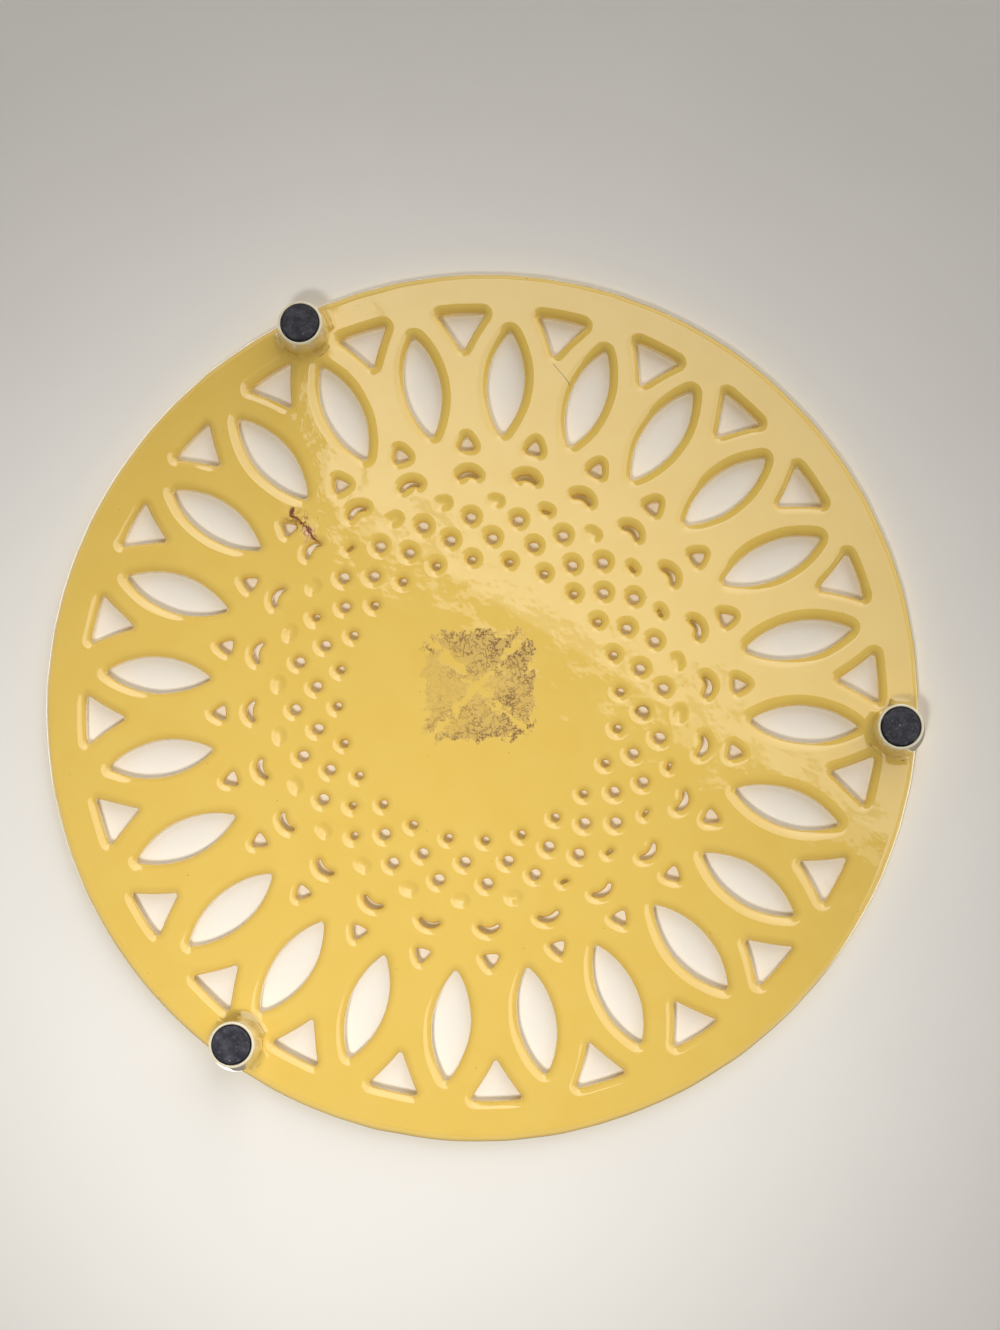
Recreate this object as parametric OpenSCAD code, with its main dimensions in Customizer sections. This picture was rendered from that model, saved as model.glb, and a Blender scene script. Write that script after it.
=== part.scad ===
// Round cast trivet on three short legs, pierced with rings of almond, triangular, crescent and round openings.
// One enamelled iron casting stands on three rubber plugs that are seated in sockets in the ends of its legs.
// The origin is under the middle of the plate, on the surface that the rubber stands on, with +Z up to the pot.
// The first leg points along +Y. Every opening is widest at the underside and narrows to the top face.

/* [Plate] */
// Diameter over the rim
plate_d = 225; // [218:1:236]
// Thickness of the plate
plate_t = 5; // [4.5:0.25:7]
// Radius of the rim's two rounded edges
rim_edge_r = 1.8; // [1:0.1:2.2]

/* [Edges of the openings] */
// Radius of the rounding from the underside into an opening
mouth_r = 3; // [2.4:0.1:3.4]
// Widening of an opening's wall between its narrow end and the rounding
wall_draft = 0.15; // [0:0.05:0.3]
// Width and depth of the break where an opening comes out in the top face
top_break = 0.5; // [0.2:0.1:0.8]

/* [Triangles by the rim] */
// From the rim to the outer edge of the triangles
triangle_inset = 10.2; // [8:0.2:11]
// Width of a triangle along its outer edge
triangle_w = 12.4; // [10:0.2:13.4]
// Height of a triangle from its outer edge to its inner point
triangle_h = 10.2; // [9:0.2:11]
// Radius of the bowed sides
triangle_side_r = 60; // [40:5:120]

/* [Almonds] */
// From the rim to the middle of an almond
almond_inset = 28.9; // [28:0.1:30]
// Length of an almond from tip to tip
almond_l = 27.2; // [24:0.2:28]
// Width of an almond
almond_w = 9.6; // [7:0.2:10.4]

/* [Darts inside the almonds] */
// From the rim to the outer point of a dart
dart_inset = 43.3; // [42.6:0.1:44]
// Height of a dart from its inner edge to its outer point
dart_h = 3.6; // [3:0.1:4.2]
// Width of a dart along its inner edge
dart_w = 3.8; // [3:0.1:4.4]
// Radius of the bowed sides
dart_side_r = 8; // [6:0.5:14]

/* [Crescents] */
// From the rim to the outer edge of a crescent
crescent_inset = 52.3; // [51.6:0.1:53]
// Radius of a crescent's outer edge
crescent_r = 3.1; // [2.8:0.1:3.3]
// Radius of a crescent's hollow inner edge
crescent_inner_r = 6; // [5:0.2:9]
// Thickness of a crescent at its middle
crescent_w = 1.7; // [1.2:0.1:2]

/* [Seed dimples] */
// From the rim to the middle of a seed-shaped dimple
seed_inset = 60.9; // [60.4:0.1:61.4]
// Length of a seed at its narrow bottom
seed_l = 2.6; // [2:0.1:3.2]
// Width of a seed at its narrow bottom
seed_w = 0.8; // [0.5:0.1:1]
// Metal left under a seed that isn't pierced
seed_floor = 1.6; // [1:0.1:1.7]

/* [Round holes] */
// From the rim to the outer ring of round holes
outer_hole_inset = 65; // [64.6:0.1:65.4]
// Diameter of the holes in the outer ring
outer_hole_d = 2.8; // [2:0.1:3.2]
// From the rim to the middle ring of round holes
middle_hole_inset = 70.3; // [69.9:0.1:70.7]
// Diameter of the holes in the middle ring
middle_hole_d = 2.7; // [2:0.1:3.2]
// From the rim to the inner ring of round holes
inner_hole_inset = 76; // [75.6:0.1:76.4]
// Diameter of the holes in the inner ring
inner_hole_d = 2.1; // [1.6:0.1:2.8]

/* [Legs] */
// From the rim to the middle of a leg
leg_inset = 4.9; // [4.4:0.1:7]
// Length of a leg from the underside of the plate to its end
leg_l = 9.7; // [8:0.1:16]
// Diameter of a leg at the plate
leg_base_d = 13.2; // [12.8:0.1:14]
// Diameter of a leg at its end
leg_tip_d = 11.6; // [11.4:0.1:12.4]
// Width and depth of the break round a leg's end
leg_break = 0.3; // [0.1:0.05:0.4]
// Radius of the fillet between a leg and the plate
leg_fillet_r = 2.2; // [1:0.1:2.6]

/* [Rubber plugs] */
// Diameter of a plug
plug_d = 10; // [9:0.1:10.2]
// Gap round a plug in its socket
plug_gap = 0.15; // [0.05:0.05:0.25]
// Depth of the socket in a leg
socket_depth = 6; // [4:0.5:8]
// Height that a plug stands proud of its leg
plug_proud = 0.8; // [0.4:0.1:2]
// Width and depth of the break round a plug's face
plug_break = 0.4; // [0.2:0.1:0.8]

/* [Hidden] */
$fa = 4;
$fs = 0.4;

// How often the pattern repeats, and how many of its repeats lie between two legs
repeats = 24;
leg_count = 3;
turn = 360 / repeats;
first_leg_angle = 90;

// Every cutting shape runs past the faces that it cuts by this much
overrun = 1;

plate_r = plate_d / 2;
underside_z = plug_proud + leg_l;
leg_circle_r = plate_r - leg_inset;
socket_r = plug_d / 2 + plug_gap;
plug_l = plug_proud + socket_depth;

// A mouth's rounding turns this far from the wall before it comes out in the underside
mouth_turn = 65;
brim_turn = 75;
mouth_h = mouth_r * sin(mouth_turn);
brim_w = mouth_r * (1 - cos(brim_turn));

// A bevel is drawn on past the underside by this share of its length
bevel_run_share = 0.5;

// A leg's shoulder narrows to this share of its base, and its flare starts at this share of its taper
shoulder_share = 0.5;
flare_start_share = 0.6;

// An almond's tips are cut back to this share of its length
almond_tip_share = 0.97;

// Seeds whose floor was left pierced by the casting, counted round from the first leg
pierced_seeds = [3, 5, 6, 9, 10, 11, 12, 23];

function is_pierced(i) = len(search(i, pierced_seeds)) > 0;
function leg_angle(i) = first_leg_angle + 360 * i / leg_count;
function arc_r(chord, rise) = (chord * chord / 4 + rise * rise) / (2 * rise);

// Centre of an arc of radius r from point a to point b, on the left of the line from a to b
function arc_centre(a, b, r) =
    let (half = (b - a) / 2, reach = sqrt(r * r - half * half))
    a + half + [-half.y, half.x] / norm(half) * reach;

enamel = [0.87, 0.71, 0.27];
rubber = [0.13, 0.13, 0.15];

// Point of the rounded mouth of a wall at radius r, where the rounding has turned by angle from the wall
function mouth_point(r, angle) = [r + mouth_r * (1 - cos(angle)), mouth_h - mouth_r * sin(angle)];

// Half section of a pocket with a rounded mouth, with the underside at 0 and the top face at plate_t
module pocket_section(r) {
    wall_r = r + wall_draft;
    difference() {
        polygon([
            [0, -overrun],
            [wall_r + brim_w, -overrun],
            [wall_r + brim_w, mouth_h],
            [wall_r, mouth_h],
            [r, plate_t - top_break],
            [r + top_break + overrun, plate_t + overrun],
            [0, plate_t + overrun]
        ]);
        translate([wall_r + mouth_r, mouth_h]) circle(mouth_r);
    }
}

// Half section of a pocket whose mouth has two bevels in place of the rounding, for the small openings
module bevel_section(r) {
    wall_r = r + wall_draft;
    mid = mouth_point(wall_r, mouth_turn / 2);
    end = mouth_point(wall_r, mouth_turn);
    past = end + (end - mid) * bevel_run_share;
    polygon([
        [0, past.y],
        past,
        mid,
        [wall_r, mouth_h],
        [r, plate_t - top_break],
        [r + top_break + overrun, plate_t + overrun],
        [0, plate_t + overrun]
    ]);
}

// Half section of a blind dimple with a bevelled mouth
module dimple_section(r) {
    wall_r = r + wall_draft;
    mid = mouth_point(wall_r, mouth_turn / 2);
    end = mouth_point(wall_r, mouth_turn);
    past = end + (end - mid) * bevel_run_share;
    polygon([
        [0, past.y],
        past,
        mid,
        [wall_r, mouth_h],
        [r, plate_t - seed_floor],
        [0, plate_t - seed_floor]
    ]);
}

// Half section of the metal that stays inside an arc of radius r, beside a bevelled pocket on the arc's outer side
module land_section(r) {
    wall_r = r - wall_draft;
    mid = mouth_point(0, mouth_turn / 2);
    end = mouth_point(0, mouth_turn);
    past = end + (end - mid) * bevel_run_share * 2;
    polygon([
        [0, past.y],
        [wall_r - past.x, past.y],
        [wall_r - mid.x, mid.y],
        [wall_r, mouth_h],
        [r, plate_t - top_break],
        [r - top_break - 2 * overrun, plate_t + 2 * overrun],
        [0, plate_t + 2 * overrun]
    ]);
}

module pocket(r, at) {
    translate([at.x, at.y, 0]) rotate_extrude() pocket_section(r);
}

module bevel_pocket(r, at) {
    translate([at.x, at.y, 0]) rotate_extrude() bevel_section(r);
}

module dimple(r, at) {
    translate([at.x, at.y, 0]) rotate_extrude() dimple_section(r);
}

module land(r, at) {
    translate([at.x, at.y, 0]) rotate_extrude() land_section(r);
}

// Opening between two equal arcs, with blunted tips
module almond() {
    r = arc_r(almond_l, almond_w / 2);
    y = plate_r - almond_inset;
    intersection() {
        pocket(r, [r - almond_w / 2, y]);
        pocket(r, [almond_w / 2 - r, y]);
        pocket(almond_l / 2 * almond_tip_share, [0, y]);
    }
}

// Triangle whose outer edge follows the rim and whose sides bow inwards
module triangle() {
    outer_r = plate_r - triangle_inset;
    corner = [triangle_w / 2, sqrt(outer_r * outer_r - triangle_w * triangle_w / 4)];
    point = [0, outer_r - triangle_h];
    side = arc_centre(corner, point, triangle_side_r);
    difference() {
        intersection() {
            bevel_pocket(outer_r, [0, 0]);
            translate([-triangle_w, point.y - triangle_w, -overrun])
                cube([2 * triangle_w, triangle_h + 2 * triangle_w, plate_t + 2 * overrun]);
        }
        land(triangle_side_r, [side.x, side.y]);
        land(triangle_side_r, [-side.x, side.y]);
    }
}

// Small triangle that points at the rim, with sides that bow outwards
module dart() {
    point = [0, plate_r - dart_inset];
    corner = [dart_w / 2, point.y - dart_h];
    side = arc_centre(corner, point, dart_side_r);
    base_reach = sqrt(dart_side_r * dart_side_r - dart_w * dart_w / 4);
    intersection() {
        bevel_pocket(dart_side_r, [side.x, side.y]);
        bevel_pocket(dart_side_r, [-side.x, side.y]);
        bevel_pocket(dart_side_r, [0, corner.y + base_reach]);
    }
}

// Crescent that is convex towards the rim
module crescent() {
    outer_y = plate_r - crescent_inset;
    difference() {
        bevel_pocket(crescent_r, [0, outer_y - crescent_r]);
        land(crescent_inner_r, [0, outer_y - crescent_w - crescent_inner_r]);
    }
}

// Dimple that lies along its ring and narrows to a slot, with a floor unless it is pierced
module seed(pierced) {
    r = arc_r(seed_l, seed_w / 2);
    y = plate_r - seed_inset;
    intersection() {
        if (pierced) bevel_pocket(r, [0, y + r - seed_w / 2]);
        else dimple(r, [0, y + r - seed_w / 2]);
        if (pierced) bevel_pocket(r, [0, y - r + seed_w / 2]);
        else dimple(r, [0, y - r + seed_w / 2]);
    }
}

module round_hole(d, inset) {
    pocket(d / 2, [0, plate_r - inset]);
}

// A ring of one opening, its first copy turned by a share of a repeat from the first leg
module ring(turn_share) {
    for (i = [0:repeats - 1])
        translate([0, 0, underside_z]) rotate(first_leg_angle - 90 + turn * (i + turn_share)) children();
}

// Disc with two rounded edges
module blank() {
    rotate_extrude() {
        square([plate_r - rim_edge_r, plate_t]);
        translate([0, rim_edge_r]) square([plate_r, plate_t - 2 * rim_edge_r]);
        for (y = [rim_edge_r, plate_t - rim_edge_r])
            translate([plate_r - rim_edge_r, y]) circle(rim_edge_r);
    }
}

// Tapered leg, and the shoulder that carries it up into the rim
module leg() {
    tip_r = leg_tip_d / 2;
    base_r = leg_base_d / 2;
    translate([0, 0, plug_proud]) rotate_extrude() polygon([
        [0, 0],
        [tip_r - leg_break, 0],
        [tip_r, leg_break],
        [base_r, leg_l],
        [base_r * shoulder_share, leg_l + plate_t - rim_edge_r / 2],
        [0, leg_l + plate_t - rim_edge_r / 2]
    ]);
}

// Flare between a leg and the underside, in two bevels on the arc of the fillet, run on into the plate
module leg_flare() {
    foot_r = leg_tip_d / 2 + (leg_base_d - leg_tip_d) / 2 * flare_start_share;
    mid = [leg_base_d / 2 + leg_fillet_r * (1 - cos(45)), leg_fillet_r * (sin(45) - 1)];
    end = [leg_base_d / 2 + leg_fillet_r, 0];
    past = end + (end - mid) * bevel_run_share;
    translate([0, 0, underside_z]) rotate_extrude() polygon([
        [0, -leg_fillet_r],
        [foot_r, -leg_fillet_r],
        mid,
        past,
        [0, past.y]
    ]);
}

// Cone that trims the flares where they would stand out past the rim
module rim_trim() {
    reach = 2 * leg_fillet_r;
    translate([0, 0, underside_z - reach])
        cylinder(h = reach + plate_t, r1 = plate_r - rim_edge_r + reach, r2 = plate_r - rim_edge_r - plate_t);
}

module at_leg(i) {
    rotate(leg_angle(i)) translate([leg_circle_r, 0, 0]) children();
}

module casting() {
    color(enamel) difference() {
        union() {
            translate([0, 0, underside_z]) blank();
            for (i = [0:leg_count - 1]) at_leg(i) leg();
            intersection() {
                union() for (i = [0:leg_count - 1]) at_leg(i) leg_flare();
                rim_trim();
            }
        }
        ring(0) almond();
        ring(0.5) triangle();
        ring(0.5) dart();
        ring(0.5) crescent();
        for (i = [0:repeats - 1])
            translate([0, 0, underside_z]) rotate(first_leg_angle - 90 + turn * i) seed(is_pierced(i));
        ring(0.5) round_hole(outer_hole_d, outer_hole_inset);
        ring(0) round_hole(middle_hole_d, middle_hole_inset);
        ring(0.5) round_hole(inner_hole_d, inner_hole_inset);
        for (i = [0:leg_count - 1])
            at_leg(i) translate([0, 0, plug_proud - overrun]) cylinder(h = socket_depth + overrun, r = socket_r);
    }
}

// Plug that is seated on the floor of its socket and stands proud of the leg
module rubber_plug(i) {
    plug_r = plug_d / 2;
    color(rubber) at_leg(i) {
        cylinder(h = plug_break, r1 = plug_r - plug_break, r2 = plug_r);
        translate([0, 0, plug_break]) cylinder(h = plug_l - plug_break, r = plug_r);
    }
}

casting();
rubber_plug(0);  // rubber_plug_1
rubber_plug(1);  // rubber_plug_2
rubber_plug(2);  // rubber_plug_3
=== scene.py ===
"""Looks of a round enamelled cast trivet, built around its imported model.

The trivet stands on its rubber feet with its pot face up. The camera looks up at the underside, as the
photograph does at the upturned trivet. Every shape is built in millimetres and brought to metres once.
"""

import logging
import math
import random
from dataclasses import dataclass, field
from enum import Enum
from typing import NamedTuple, Sequence

import bmesh
import bpy
from mathutils import Matrix, Vector, noise


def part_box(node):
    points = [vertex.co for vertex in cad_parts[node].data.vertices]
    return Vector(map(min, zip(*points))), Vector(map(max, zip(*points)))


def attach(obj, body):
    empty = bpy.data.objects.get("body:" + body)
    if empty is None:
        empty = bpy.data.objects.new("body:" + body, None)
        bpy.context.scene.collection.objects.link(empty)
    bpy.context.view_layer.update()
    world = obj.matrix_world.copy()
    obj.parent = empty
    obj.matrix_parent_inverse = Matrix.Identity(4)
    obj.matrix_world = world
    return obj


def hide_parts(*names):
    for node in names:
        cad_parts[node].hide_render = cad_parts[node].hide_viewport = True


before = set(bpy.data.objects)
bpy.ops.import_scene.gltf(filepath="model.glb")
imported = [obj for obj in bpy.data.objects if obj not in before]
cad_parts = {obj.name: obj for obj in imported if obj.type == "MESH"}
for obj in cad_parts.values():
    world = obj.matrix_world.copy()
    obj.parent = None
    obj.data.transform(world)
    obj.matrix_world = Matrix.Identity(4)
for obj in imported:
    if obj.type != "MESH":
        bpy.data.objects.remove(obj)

MM = 0.001
UP = Vector((0, 0, 1))
WELD = 0.002
CRISP_ANGLE = math.radians(50)
log = logging.getLogger("trivet")


# Shader kit


class Wire:
    """A node's output, with arithmetic that adds Math nodes to its tree."""

    def __init__(self, tree: "Tree", socket: bpy.types.NodeSocket) -> None:
        """Holds one output.

        Args:
            tree: the tree that the output belongs to.
            socket: the output itself.
        """
        self.tree = tree
        self.socket = socket

    def _math(self, operation: str, *values: "Wire | float") -> "Wire":
        """Adds one Math node.

        Args:
            operation: the Math node's operation.
            values: its inputs in order.

        Returns:
            The node's output.
        """
        return self.tree.node("ShaderNodeMath", {"operation": operation}, dict(enumerate(values)))

    def __add__(self, other: "Wire | float") -> "Wire":
        """Sum."""
        return self._math("ADD", self, other)

    __radd__ = __add__

    def __sub__(self, other: "Wire | float") -> "Wire":
        """Difference."""
        return self._math("SUBTRACT", self, other)

    def __rsub__(self, other: "Wire | float") -> "Wire":
        """Difference from a number."""
        return self._math("SUBTRACT", other, self)

    def __mul__(self, other: "Wire | float") -> "Wire":
        """Product."""
        return self._math("MULTIPLY", self, other)

    __rmul__ = __mul__

    def __abs__(self) -> "Wire":
        """Size without its sign."""
        return self._math("ABSOLUTE", self)

    def least(self, other: "Wire | float") -> "Wire":
        """The smaller of the two."""
        return self._math("MINIMUM", self, other)

    def most(self, other: "Wire | float") -> "Wire":
        """The larger of the two."""
        return self._math("MAXIMUM", self, other)

    def step(self, gone: float, full: float) -> "Wire":
        """Changes smoothly from 0 at one value to 1 at another, which may be the smaller.

        Args:
            gone: the value that gives 0.
            full: the value that gives 1.

        Returns:
            A mask from 0 to 1.
        """
        smooth = {"interpolation_type": "SMOOTHSTEP"}
        ends = {"Value": self, "From Min": gone, "From Max": full}
        return self.tree.node("ShaderNodeMapRange", smooth, ends)


class Tree:
    """A node tree that starts empty."""

    def __init__(self, tree: bpy.types.NodeTree) -> None:
        """Empties the tree.

        Args:
            tree: the tree of a material or of the world.
        """
        self.tree = tree
        self.tree.nodes.clear()

    def node(
        self,
        kind: str,
        settings: dict | None = None,
        inputs: dict | None = None,
        output: str | int = 0,
    ) -> Wire:
        """Adds any node.

        Args:
            kind: the node's type.
            settings: its own properties, set first.
            inputs: values or wires, by socket name or number.
            output: the output that is wanted, by name or number.

        Returns:
            That output.
        """
        made = self.tree.nodes.new(kind)
        for name, value in (settings or {}).items():
            setattr(made, name, value)
        for name, value in (inputs or {}).items():
            if isinstance(value, Wire):
                self.tree.links.new(value.socket, made.inputs[name])
            else:
                made.inputs[name].default_value = value
        return Wire(self, made.outputs[output])

    def vector(
        self, operation: str, first: Wire, second: "Wire | Sequence[float]", output: str = "Vector"
    ) -> Wire:
        """Adds one Vector Math node.

        Args:
            operation: the node's operation.
            first: its first vector.
            second: its second vector.
            output: the output that is wanted.

        Returns:
            That output.
        """
        return self.node("ShaderNodeVectorMath", {"operation": operation}, {0: first, 1: second}, output)

    def dot(self, vector: Wire, direction: Sequence[float]) -> Wire:
        """How far a vector reaches along a fixed direction."""
        return self.vector("DOT_PRODUCT", vector, direction, "Value")

    def end_in(self, kind: str, shade: Wire) -> None:
        """Ends the tree.

        Args:
            kind: type of the output node.
            shade: the shader that it is fed.
        """
        end = self.tree.nodes.new(kind)
        self.tree.links.new(shade.socket, end.inputs["Surface"])


class Shader(Tree):
    """One material's tree, with the helpers that the finishes share.

    Lengths are in millimetres. MIX_INPUTS are the sockets of a Mix node's factor and of its two colours, and
    MIX_RESULT is that of its blended colour. The CORE values are the shares of a mark that are full.
    """

    MIX_INPUTS = (0, 6, 7)
    MIX_RESULT = 2
    SPECK_CORE = 0.4
    LINE_CORE = 0.3

    def __init__(self, name: str) -> None:
        """Starts an empty material.

        Args:
            name: the material's name.
        """
        self.material = bpy.data.materials.new(name)
        self.material.use_nodes = True
        super().__init__(self.material.node_tree)
        coords = self.node("ShaderNodeTexCoord", output="Object")
        self.place = self.node("ShaderNodeMapping", inputs={"Vector": coords, "Scale": (1 / MM,) * 3})

    def grain(self, size: float, detail: float = 2.0, roughness: float = 0.5) -> Wire:
        """Soft noise.

        Args:
            size: width of its lumps.
            detail: how many finer layers it has.
            roughness: how strong the finer layers are.

        Returns:
            The noise, about 0.5 on average.
        """
        values = {"Vector": self.place, "Scale": 1 / size, "Detail": detail, "Roughness": roughness}
        return self.node("ShaderNodeTexNoise", inputs=values)

    def veins(self, size: float, gone: float, full: float) -> Wire:
        """Thin winding lines, where a noise is near its average.

        Args:
            size: width of the noise's lumps.
            gone: distance from the average at which a line has gone.
            full: distance inside which it is full.

        Returns:
            A mask that is 1 on the lines.
        """
        return abs(self.grain(size) - 0.5).step(gone, full)

    def specks(self, spacing: float, size: float) -> Wire:
        """Sparse round specks.

        Args:
            spacing: width of the cells that hold one speck each.
            size: the specks' radius as a share of the spacing.

        Returns:
            A mask that is 1 in the middle of each speck.
        """
        distance = self.node("ShaderNodeTexVoronoi", inputs={"Vector": self.place, "Scale": 1 / spacing})
        return distance.step(size, size * self.SPECK_CORE)

    def turned(self, centre: Sequence[float], angle: float = 0.0) -> tuple[Wire, Wire]:
        """Coordinates about a point of the plate, turned with a mark on it.

        Args:
            centre: the point.
            angle: how far the mark is turned, in degrees.

        Returns:
            Distances along the mark and across it.
        """
        spin = math.radians(angle)
        x, y = centre
        back = (-x * math.cos(spin) - y * math.sin(spin), x * math.sin(spin) - y * math.cos(spin), 0)
        values = {"Vector": self.place, "Location": back, "Rotation": (0, 0, -spin)}
        moved = self.node("ShaderNodeMapping", inputs=values)
        parts = [self.node("ShaderNodeSeparateXYZ", inputs={"Vector": moved}, output=i) for i in (0, 1)]
        return parts[0], parts[1]

    def near(self, point: Sequence[float], full: float, gone: float) -> Wire:
        """A round mark.

        Args:
            point: its middle.
            full: radius inside which it is full.
            gone: radius at which it has gone.

        Returns:
            A mask that is 1 inside it.
        """
        return self.vector("DISTANCE", self.place, point, "Value").step(gone, full)

    def line(self, ends: Sequence[Sequence[float]], width: float, sway: Wire) -> Wire:
        """A thin wandering mark between two points of the plate.

        Args:
            ends: its two ends.
            width: its width.
            sway: how far it wanders to one side.

        Returns:
            A mask that is 1 on the line.
        """
        start, end = (Vector(point) for point in ends)
        run = end - start
        along, across = self.turned((start + end) / 2, math.degrees(math.atan2(run.y, run.x)))
        ended = abs(along).step(run.length / 2, run.length / 2 - 2 * width)
        return ended * abs(across + sway).step(width, width * self.LINE_CORE)

    def mix(self, share: "Wire | float", first: "Wire | tuple", second: "Wire | tuple") -> Wire:
        """Blends two colours.

        Args:
            share: 0 for the first, 1 for the second.
            first: a colour or a wire.
            second: a colour or a wire.

        Returns:
            The blended colour.
        """
        colours = [part if isinstance(part, Wire) else (*part, 1) for part in (first, second)]
        inputs = dict(zip(self.MIX_INPUTS, (share, *colours)))
        return self.node("ShaderNodeMix", {"data_type": "RGBA"}, inputs, self.MIX_RESULT)

    def bump(self, height: Wire) -> Wire:
        """Relief from a height, as a bent normal."""
        return self.node("ShaderNodeBump", inputs={"Height": height, "Distance": MM, "Strength": 1.0})

    def surface(self, inputs: dict) -> bpy.types.Material:
        """Ends the tree in a Principled shader.

        Args:
            inputs: values or wires of the shader.

        Returns:
            The finished material.
        """
        self.end_in("ShaderNodeOutputMaterial", self.node("ShaderNodeBsdfPrincipled", inputs=inputs))
        return self.material


# Finishes


class Grains(NamedTuple):
    """Noises that the enamel's relief and its marks share."""

    flow: Wire
    drops: Wire
    peel: Wire
    fine: Wire
    grime: Wire


@dataclass(frozen=True)
class EnamelFinish:
    """Warm yellow gloss enamel with its flow marks, stains, chips and the trace of an old square sticker.

    Lengths are in millimetres, heights are above the legs' ends, and heights and radii are given as where a
    mark has gone and where it is full. A grain is a noise's size, its detail and its roughness, a span is the
    noise at which a mark has gone and is full, a share is how strong a mark is, and a dulling is how much of
    the gloss it takes.
    """

    colour: tuple = (0.86, 0.605, 0.135)
    thick: tuple = (0.83, 0.555, 0.100)
    # Pale colour of worn enamel. It also paints the legs' sides paler as painted light.
    worn_and_lit: tuple = (0.86, 0.80, 0.60)
    stain: tuple = (0.30, 0.17, 0.05)
    glue: tuple = (0.54, 0.34, 0.095)
    soot: tuple = (0.045, 0.032, 0.02)
    film: tuple = (0.225, 0.115, 0.032)
    rust: tuple = (0.22, 0.042, 0.015)
    primer: tuple = (0.80, 0.46, 0.30)

    roughness: float = 0.035
    dull_roughness: float = 0.6
    coat_roughness: float = 0.01
    refraction: float = 1.65

    flow_grain: tuple = (17, 1.0)
    flow_rise: float = 0.19
    drop_grain: tuple = (4.0, 1.5)
    drop_rise: float = 0.028
    peel_grain: tuple = (1.3, 1.0)
    peel_rise: float = 0.006
    fine_grain: tuple = (0.42, 3.0, 0.65)
    grime_grain: tuple = (2.5, 3.0)
    pool_grain: tuple = (11, 3.0)
    pool_span: tuple = (0.35, 0.7)
    pool_share: float = 0.4

    underside_heights: tuple = (12.5, 9.7)
    fillet_heights: tuple = (9.9, 8.2)
    fillet_reach: float = 4.0
    fillet_span: tuple = (0.42, 0.66)
    fillet_share: float = 0.30
    # Heights and share of the legs' paleness: partly rubbed enamel, partly painted light standing in for
    # light scattered onto their sides.
    rubbed_and_lit_heights: tuple = (8.5, 1.0)
    rubbed_and_lit_share: float = 0.65
    dirt_grain: tuple = (0.9, 4.0, 0.7)
    dirt_span: tuple = (0.57, 0.70)
    dirt_share: float = 0.45
    dirt_dulling: float = 0.4
    ring_heights: tuple = (0.9, 0.45)
    ring_dulling: float = 0.3
    socket_radii: tuple = (5.25, 5.08)
    socket_share: float = 0.9
    scrape_r: float = 7.3
    scrape_sway: float = 0.9
    scrape_widths: tuple = (0.13, 0.04)
    scrape_heights: tuple = (9.9, 9.4)
    scrape_grain: tuple = (5.0, 2.0)
    scrape_span: tuple = (0.50, 0.58)
    scrape_share: float = 0.75

    sticker_at: tuple = (-1.4, 3.0)
    sticker_side: float = 28.2
    sticker_turn: float = 23.6
    sticker_edge: float = 0.8
    cross_widths: tuple = (0.9, 1.9)
    fray_grain: tuple = (3.6, 5.0, 0.7)
    fray: float = 14.0
    edge_fray_share: float = 0.8
    rubbing_grain: tuple = (4.0, 3.0)
    rubbing_noise: float = 2.4
    rubbing_across: float = 0.06
    rubbing_along: float = 0.03
    rubbing_start: float = 1.15
    glue_shares: tuple = (0.3, 0.4)
    glue_span: tuple = (0.25, 0.45)
    glue_rise: float = 0.03
    glue_dulling: float = 0.5
    fold_size: float = 1.4
    fold_widths: tuple = (0.065, 0.02)
    film_shares: tuple = (0.14, 0.8)
    film_rise: float = 0.05

    crack: tuple = ((-55.0, 71.3), (-56.6, 64.1))
    crack_w: float = 0.14
    crack_sway: float = 1.6
    crack_share: float = 0.75
    pit_spacing: float = 6.0
    pit_size: float = 0.035
    pit_share: float = 0.6
    pit_depth: float = 0.03

    rust_run: tuple = ((23.6, 66.8), (20.6, 54.3))
    rust_w: float = 0.55
    rust_sway: float = 7.0
    rust_fray: float = 1.6
    rust_patch_w: float = 2.6
    rust_vein_size: float = 1.5
    rust_vein_widths: tuple = (0.05, 0.015)
    rust_vein_share: float = 0.9
    rust_soot_span: tuple = (0.52, 0.70)
    rust_depth: float = 0.08
    flake_at: tuple = (21.5, 57.5, 10.5)
    flake_radii: tuple = (2.0, 3.4)
    flake_share: float = 0.7
    rim_chip: tuple = (-58.4, 94.6, 11.4)
    rim_chip_radii: tuple = (0.5, 0.9)
    rusty_hole: tuple = (-36.5, -21.5, 11.5)
    rusty_hole_radii: tuple = (1.3, 2.5)
    rusty_hole_span: tuple = (0.35, 0.55)
    rusty_hole_share: float = 0.8

    def material(self, legs: Sequence[Vector], leg_r: float, leg_end: float) -> bpy.types.Material:
        """Builds the enamel.

        Args:
            legs: the legs' axes.
            leg_r: radius of a leg at the plate.
            leg_end: height of the legs' ends.

        Returns:
            The material.
        """
        sh = Shader("yellow_enamel")
        kinds = (self.flow_grain, self.drop_grain, self.peel_grain, self.fine_grain, self.grime_grain)
        grains = Grains(*(sh.grain(*kind) for kind in kinds))
        height = sh.dot(sh.place, (0, 0, 1)) - leg_end
        under = height.step(*self.underside_heights)
        pools = sh.grain(*self.pool_grain).step(*self.pool_span)
        colour = sh.mix(pools * self.pool_share, self.colour, self.thick)
        colour, leg_dulling = self._leg_wear(sh, grains, colour, height, self._leg_distance(sh, legs), leg_r)

        glue, film = (mark * under for mark in self._sticker(sh, grains))
        colour = sh.mix(film, sh.mix(glue, colour, self.glue), self.film)
        crack = sh.line(self.crack, self.crack_w, (grains.drops - 0.5) * self.crack_sway) * under
        pits = sh.specks(self.pit_spacing, self.pit_size) * under
        colour = sh.mix((pits * self.pit_share).most(crack * self.crack_share), colour, self.soot)

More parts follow.
